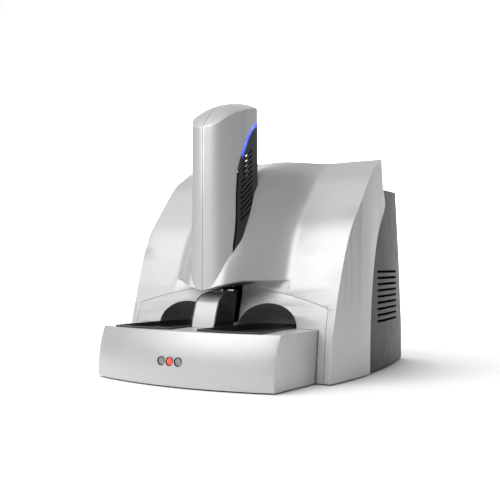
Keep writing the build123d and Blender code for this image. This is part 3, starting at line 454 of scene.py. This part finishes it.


# The side windows get a very dark base colour and let little light through.
tinted_window = tinted("tinted_window", (0.055, 0.056, 0.062), 0.15, 0.08, 0.20)
clear_optics = tinted("clear_optics", (0.93, 0.95, 0.96), 0.9, 0.03, 0.10)
blue_light_pipe = lit(
    "blue_light_pipe", (0.02, 0.05, 0.75), (0.08, 0.14, 1.0), (0.05, 0.08, 0.55), 1.1, 40.0, 298 * MM)
button_red = lit(
    "button_red", (0.70, 0.02, 0.01), (1.0, 0.10, 0.05), (0.55, 0.02, 0.015), 0.7, 300.0)
board_finish = circuit_board()
FINISHES = {
    "silver_lacquer": silver_finish, "black_housing": black_housing, "tray_black": tray_rim_finish,
    "pad_black": pad_finish, "tinted_window": tinted_window, "blue_light_pipe": blue_light_pipe,
    "clear_optics": clear_optics, "zinc_steel": zinc_steel, "bright_steel": bright_steel,
    "aluminium": brushed_aluminium, "circuit_board": board_finish, "rubber": rubber_finish,
    "dark_trim": dark_trim, "button_grey": button_grey, "button_red": button_red,
}
slot_of = {part["node"]: part["material_slot"] for part in frame["record"]["subparts"]}
print("finishes:", len(FINISHES))


# %% [markdown]
# ## From CAD faces to smooth shells
# A CAD node arrives as loose triangles, each with its own corners, so it can't be shaded
# smoothly and its edges are razor sharp. The outer pieces could be modelled again by hand,
# but their curves are already right. So each is copied, its corners are welded, its faces are
# shaded smooth up to an angle, and where a moulding has a soft edge a narrow bevel is added.
# The inner pieces stay as they are and only take a finish.

# %% Weld, smooth and soften a copy of a CAD node
WELD = 0.01 * MM
OUTER = {       # node: largest angle that is shaded smooth, width of the soft edge in mm
    "front_console": (32, 1.2), "hood_shell": (40, 0.8), "bay_panel_right": (40, 0.5),
    "bay_panel_left": (40, 0.5), "rear_housing": (32, 1.0), "tray_left": (34, 0.5),
    "tray_right": (34, 0.5), "tray_pad_left": (34, 0.3), "tray_pad_right": (34, 0.3),
    "light_head_shell": (34, 0.5), "light_window_right": (30, 0.3), "light_window_left": (30, 0.3),
    "tower_shell_right": (34, 0.5), "tower_shell_left": (34, 0.5), "tower_rear_cover": (34, 0.3),
    "glow_pipe_right": (34, 0.0), "glow_pipe_left": (34, 0.0), "button_bezels": (34, 0.3),
    "left_button": (34, 0.4), "start_button": (34, 0.4), "right_button": (34, 0.4),
    "mains_inlet": (30, 0.5), "switch_frame": (30, 0.4), "power_rocker": (30, 0.4),
    "fan_guard": (34, 0.0), "fan_frame": (34, 0.4), "fan_rotor": (34, 0.3),
}


def softened(node, smooth_angle, edge_mm):
    """Copy of a CAD node that is welded, shaded smooth and softly edged."""
    mesh = nodes[node].data.copy()
    mesh.materials.clear()
    mesh.materials.append(FINISHES[slot_of[node]])
    piece = bpy.data.objects.new(f"{node}_finished", mesh)
    bpy.context.scene.collection.objects.link(piece)
    edit(piece, "VERT")
    bpy.ops.mesh.select_all(action="SELECT")
    bpy.ops.mesh.remove_doubles(threshold=WELD)
    bpy.ops.mesh.dissolve_limited(angle_limit=radians(0.5))
    bpy.ops.object.mode_set(mode="OBJECT")
    bpy.ops.object.shade_smooth_by_angle(angle=radians(smooth_angle))
    if edge_mm:
        bevel = piece.modifiers.new("soft_edge", "BEVEL")
        bevel.width = edge_mm * MM
        bevel.segments = 3
        bevel.limit_method = "ANGLE"
        bevel.angle_limit = radians(smooth_angle + 4)
        bevel.use_clamp_overlap = True
        bevel.harden_normals = True
    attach(piece, body_of[node])
    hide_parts(node)
    return piece


shells = {node: softened(node, *values) for node, values in OUTER.items()}
print("softened copies:", len(shells))

# %% [markdown]
# The remaining CAD nodes sit inside or underneath. They keep their own meshes and only take
# the finish of their slot.

# %% Finish the inner CAD nodes
REMODELLED = ("feet", "rear_screws", "rating_plate")
for node, piece in nodes.items():
    if node in OUTER or node in REMODELLED:
        continue
    piece.data.materials.clear()
    piece.data.materials.append(FINISHES[slot_of[node]])
print("inner nodes:", len(nodes) - len(OUTER) - len(REMODELLED))


# %% [markdown]
# ## Feet
# The unit stands on four soft rubber feet. Each is a short turned disc with a rounded lower
# edge and a shallow recess under it. One is made from a cylinder, whose lower face is inset
# and pushed in and whose rims are bevelled, and three copies follow.

# %% Model one foot and copy it
def rounded_rims(piece, radius, width):
    """Bevel the edges that run round a turned piece at its outer radius."""
    centre = sum((v.co for v in piece.data.vertices), Vector()) / len(piece.data.vertices)

    def on_rim(item):
        first, second = (piece.data.vertices[i].co - centre for i in item.vertices)
        level = abs(first.z - second.z) < 1e-6
        return level and abs(Vector(first.xy).length - radius) < 1e-5

    bpy.ops.mesh.select_mode(type="EDGE")
    pick(piece, "EDGE", on_rim)
    bpy.ops.mesh.bevel(offset=width, segments=4)
    bpy.ops.mesh.select_mode(type="FACE")


feet_low, feet_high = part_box("feet")
foot_height = feet_high.z - feet_low.z
FOOT_RADIUS = 9.0 * MM
FOOT_ROUNDING = 0.8 * MM
FOOT_RIM = 2.5 * MM             # width of the ring that the foot stands on
FOOT_HOLLOW = 1.2 * MM          # depth of the recess inside that ring
FOOT_HOLLOW_BORDER = 0.4 * MM   # narrow border inside the recess
CAP_AREA = 20e-6                # square metres; the faces of the rounding are smaller
foot_places = [(x, y) for x in (feet_low.x + FOOT_RADIUS, feet_high.x - FOOT_RADIUS)
               for y in (feet_low.y + FOOT_RADIUS, feet_high.y - FOOT_RADIUS)]


def foot(place):
    centre = (*place, feet_low.z + foot_height / 2)
    bpy.ops.mesh.primitive_cylinder_add(
        vertices=48, radius=FOOT_RADIUS, depth=foot_height, location=centre)
    piece = bpy.context.object
    edit(piece)
    rounded_rims(piece, FOOT_RADIUS, FOOT_ROUNDING)
    pick(piece, "FACE", lambda face: face.normal.z < -0.99 and face.area > CAP_AREA)
    bpy.ops.mesh.inset(thickness=FOOT_RIM)
    bpy.ops.mesh.extrude_region_move(TRANSFORM_OT_translate={"value": (0, 0, FOOT_HOLLOW)})
    bpy.ops.mesh.inset(thickness=FOOT_HOLLOW_BORDER)
    return settle(piece, "foot")


def joined(pieces, name):
    """Join several pieces into one object."""
    only(pieces[0])
    for piece in pieces:
        piece.select_set(True)
    bpy.ops.object.join()
    pieces[0].name = name
    bpy.ops.object.shade_smooth_by_angle(angle=radians(35))
    return pieces[0]


def stands_for(piece, node):
    """Give a remodelled piece the node's finish and body, and hide the node."""
    piece.data.materials.clear()
    piece.data.materials.append(FINISHES[slot_of[node]])
    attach(piece, body_of[node])
    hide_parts(node)


feet = joined([foot(place) for place in foot_places], "rubber_feet")
stands_for(feet, "feet")
print("feet at", [tuple(round(v / MM) for v in place) for place in foot_places])

# %% [markdown]
# ## Screws of the rear housing
# Four pan-head screws hold the housing. A head is a low disc with a rounded rim and a cross
# recess. The recess is cut by two crossed bars whose inner ends narrow like the real driver,
# with a boolean modifier that is applied.

# %% Model one screw and copy it
screw_low, screw_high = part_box("rear_screws")
SCREW_RADIUS = 3.2 * MM
SCREW_ROUNDING = 0.9 * MM
RECESS_SIZE = (3.6 * MM, 0.75 * MM, 1.8 * MM)       # length, width and height of one bar
RECESS_LIFT = 0.2 * MM                              # the bar's middle above the head
RECESS_TAPER = (0.45, 0.6, 1.0)                     # its inner end against its outer end
FIRST_TURN, TURN_STEP = 0.4, 1.1                    # radians; no two screws stop alike
screw_depth = screw_high.y - screw_low.y
screw_places = [(x, z) for x in (screw_low.x + SCREW_RADIUS, screw_high.x - SCREW_RADIUS)
                for z in (screw_low.z + SCREW_RADIUS, screw_high.z - SCREW_RADIUS)]


def recess_bar(angle):
    """One bar of the cross recess, narrower at its inner end, standing along Z."""
    bpy.ops.mesh.primitive_cube_add(size=1.0)
    bar = bpy.context.object
    bar.scale = RECESS_SIZE
    bar.location = (0, 0, screw_depth + RECESS_LIFT)
    bpy.ops.object.transform_apply(location=True, rotation=False, scale=True)
    edit(bar)
    pick(bar, "FACE", lambda face: face.normal.z < -0.9)
    bpy.ops.transform.resize(value=RECESS_TAPER)
    bpy.ops.object.mode_set(mode="OBJECT")
    bar.rotation_euler = (0, 0, angle)
    bpy.ops.object.transform_apply(location=False, rotation=True, scale=False)
    return bar


def screw(place, turn):
    bpy.ops.mesh.primitive_cylinder_add(
        vertices=40, radius=SCREW_RADIUS, depth=screw_depth, location=(0, 0, screw_depth / 2))
    head = bpy.context.object
    bpy.ops.object.transform_apply(location=True, rotation=False, scale=False)
    edit(head, "EDGE")
    pick(head, "EDGE", lambda item: edge_middle(head, item).z > screw_depth - 1e-6)
    bpy.ops.mesh.bevel(offset=SCREW_ROUNDING, segments=5)
    bpy.ops.object.mode_set(mode="OBJECT")
    for angle in (turn, turn + pi / 2):
        bar = recess_bar(angle)
        only(head)
        cut = head.modifiers.new("recess", "BOOLEAN")
        cut.operation = "DIFFERENCE"
        cut.solver = "EXACT"
        cut.object = bar
        bpy.ops.object.modifier_apply(modifier=cut.name)
        bpy.data.objects.remove(bar)
    head.rotation_euler = (-pi / 2, 0, 0)
    head.location = (place[0], screw_low.y, place[1])
    return settle(head, "screw")


screw_heads = [screw(place, FIRST_TURN + TURN_STEP * i) for i, place in enumerate(screw_places)]
screws = joined(screw_heads, "housing_screws")
stands_for(screws, "rear_screws")
print("screws:", len(screw_places), "faces:", len(screws.data.polygons))

# %% [markdown]
# ## Rating plate
# The plate is thin aluminium with a raised border, left blank here. It is a flat block whose
# corners are rounded by a bevel. Its outer face is then inset twice, and what is left in the
# middle is pushed in a little, so that a border stands round it.

# %% Model the rating plate
PLATE_CORNER = 2.5 * MM
PLATE_BORDERS = (1.2 * MM, 0.8 * MM)        # widths of the two insets
PLATE_SINK = 0.25 * MM
plate_low, plate_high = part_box("rating_plate")
plate_size = plate_high - plate_low
bpy.ops.mesh.primitive_cube_add(size=1.0, location=(plate_low + plate_high) / 2)
plate = bpy.context.object
plate.scale = plate_size
bpy.ops.object.transform_apply(location=True, rotation=False, scale=True)


def runs_through(item):
    """True for the short edges that run from the plate's front to its back."""
    first, second = (plate.data.vertices[i].co for i in item.vertices)
    return abs((first - second).y) > plate_size.y * 0.9


edit(plate, "EDGE")
pick(plate, "EDGE", runs_through)
bpy.ops.mesh.bevel(offset=PLATE_CORNER, segments=5)
bpy.ops.mesh.select_mode(type="FACE")
pick(plate, "FACE", lambda face: face.normal.y > 0.99)
for border in PLATE_BORDERS:
    bpy.ops.mesh.inset(thickness=border)
bpy.ops.mesh.extrude_region_move(TRANSFORM_OT_translate={"value": (0, -PLATE_SINK, 0)})
settle(plate, "blank_rating_plate")
bpy.ops.object.shade_smooth_by_angle(angle=radians(30))
stands_for(plate, "rating_plate")
print("plate in mm:", [round(v / MM, 1) for v in plate_size])


# %% [markdown]
# ## Marks on the mains switch
# A rocker carries two moulded marks, a bar for on and a ring for off. Both stand a hair proud
# of its hollow face. The bar is a block with rounded edges, and the ring is a thin torus that
# is flattened, so both begin as primitives and are then shaped.

# %% Model the switch's marks
rocker_low, rocker_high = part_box("power_rocker")
rocker_middle = (rocker_low + rocker_high) / 2
MARK_Y = rocker_high.y - 1.05 * MM          # the rocker's face is hollow, so it lies further in
MARK_OFFSET = 5.2 * MM                      # height of a mark above or below the middle
BAR_SIZE = (0.7 * MM, 0.5 * MM, 3.4 * MM)
BAR_ROUNDING = 0.12 * MM
RING_RADIUS = 1.5 * MM
RING_THICKNESS = 0.33 * MM                  # radius of the ring's own round section


def switch_bar():
    place = (rocker_middle.x, MARK_Y, rocker_middle.z + MARK_OFFSET)
    bpy.ops.mesh.primitive_cube_add(size=1.0, location=place)
    bar = bpy.context.object
    bar.scale = BAR_SIZE
    bpy.ops.object.transform_apply(location=False, rotation=False, scale=True)
    edit(bar, "EDGE")
    bpy.ops.mesh.select_all(action="SELECT")
    bpy.ops.mesh.bevel(offset=BAR_ROUNDING, segments=2)
    return settle(bar, "switch_on_mark")


def switch_ring():
    place = (rocker_middle.x, MARK_Y, rocker_middle.z - MARK_OFFSET)
    bpy.ops.mesh.primitive_torus_add(
        major_radius=RING_RADIUS, minor_radius=RING_THICKNESS, major_segments=40,
        minor_segments=10, rotation=(pi / 2, 0, 0), location=place)
    ring = bpy.context.object
    bpy.ops.object.transform_apply(location=False, rotation=True, scale=False)
    edit(ring)
    bpy.ops.mesh.select_all(action="SELECT")
    bpy.ops.transform.resize(value=(1.0, 0.7, 1.2))
    return settle(ring, "switch_off_mark")


mark_finish = moulded_plastic(
    "mark_white", (0.70, 0.70, 0.69), (0.80, 0.80, 0.79), (0.35, 0.5), 2000.0, 0.01, 0.05)
for mark in (switch_bar(), switch_ring()):
    bpy.ops.object.shade_smooth_by_angle(angle=radians(40))
    mark.data.materials.clear()
    mark.data.materials.append(mark_finish)
    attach(mark, "power_rocker")
print("switch marks at", [round(v / MM, 1) for v in rocker_middle])

# %% [markdown]
# ## Floor, backdrop and light
# The unit stands in a plain pale studio. The silver reads as silver only if it has something
# to reflect: a broad bright panel high in front whitens what faces forward and a little up,
# and the room to the right stays darker but for one faint panel, so that the unit's right
# side goes grey. A wide lamp overhead lights the floor, another washes the backdrop, and
# neither shows in reflections.

# %% Floor and backdrop
PALE = 0.93             # grey value of the studio's paint
REACH = 6.0             # metres from the middle to the floor's edges, and the backdrop's height
BACKDROP_Y = 3.4        # metres behind the middle


def matt_paint(name, value):
    """Matt paint in a grey of the given value, a touch uneven."""
    material, tree, shader = start_finish(name, Roughness=0.9)
    drift = noise(tree, object_place(tree), 0.8, 2.0)
    grey = tones(tree, drift, (value,) * 3, (value * 1.02,) * 3)
    tree.links.new(grey, shader.inputs["Base Color"])
    return material


def stage_sheet(name, corners):
    """One flat four-cornered sheet of the studio."""
    bpy.ops.mesh.primitive_plane_add(size=1.0)
    sheet = bpy.context.object
    for vertex, corner in zip(sheet.data.vertices, corners):
        vertex.co = corner
    sheet.name = name
    sheet.data.materials.append(matt_paint(name + "_paint", PALE))


stage_sheet("floor", [(x, y, 0) for y in (-REACH, REACH) for x in (-REACH, REACH)])
stage_sheet("backdrop", [(x, BACKDROP_Y, z) for z in (0, REACH) for x in (-REACH, REACH)])
print("floor and backdrop reach", REACH, "m")


# %% Lamps and world
WORLD_GREY = (0.64, 0.65, 0.66, 1.0)
WORLD_STRENGTH = 0.26


def softbox(name, place, target, size, power, reflected=True):
    """Rectangular area lamp that looks at a target; places in metres, power in watts."""
    data = bpy.data.lights.new(name, "AREA")
    data.shape = "RECTANGLE"
    data.size, data.size_y = size
    data.energy = power
    lamp = bpy.data.objects.new(name, data)
    lamp.location = place
    lamp.rotation_euler = (Vector(target) - Vector(place)).to_track_quat("-Z", "Y").to_euler()
    lamp.visible_glossy = reflected
    bpy.context.scene.collection.objects.link(lamp)


softbox("front_panel", (-0.45, -1.4, 1.45), (0, 0, 0.15), (1.9, 1.7), 31.0)
softbox("right_panel", (1.9, 0.1, 0.9), (0, 0, 0.15), (0.9, 1.2), 0.8)
softbox("overhead", (-1.2, 0.2, 2.4), (-1.2, 0.2, 0), (3.2, 3.6), 74.0, reflected=False)
softbox("backdrop_wash", (-2.4, 1.5, 1.5), (-2.4, 3.4, 0.7), (4.2, 1.0), 150.0, reflected=False)

world = bpy.data.worlds.new("studio")
bpy.context.scene.world = world
world.use_nodes = True
background = world.node_tree.nodes["Background"]
background.inputs["Color"].default_value = WORLD_GREY
background.inputs["Strength"].default_value = WORLD_STRENGTH
bpy.context.scene.view_settings.view_transform = "Standard"

# %% [markdown]
# ## Camera
# The camera stands in front of the unit and well to its right, about two fifths as high as
# the tower's top, and looks slightly up. Its lens is a little longer than a normal one, which
# keeps the verticals calm.

# %% Place the camera
CAMERA_PLACE = (0.5782, -0.9561, 0.1520)
CAMERA_TURN = 31.956            # degrees from straight ahead, about the vertical
CAMERA_LIFT = 1.248             # degrees above the horizontal
LENS = 53.28                    # millimetres on a sensor 36 mm wide

camera_data = bpy.data.cameras.new("camera")
camera_data.lens = LENS
camera_data.sensor_width = 36.0
camera = bpy.data.objects.new("camera", camera_data)
camera.location = CAMERA_PLACE
camera.rotation_euler = (radians(90 + CAMERA_LIFT), 0, radians(CAMERA_TURN))
bpy.context.scene.collection.objects.link(camera)
bpy.context.scene.camera = camera
print("camera at", CAMERA_PLACE)
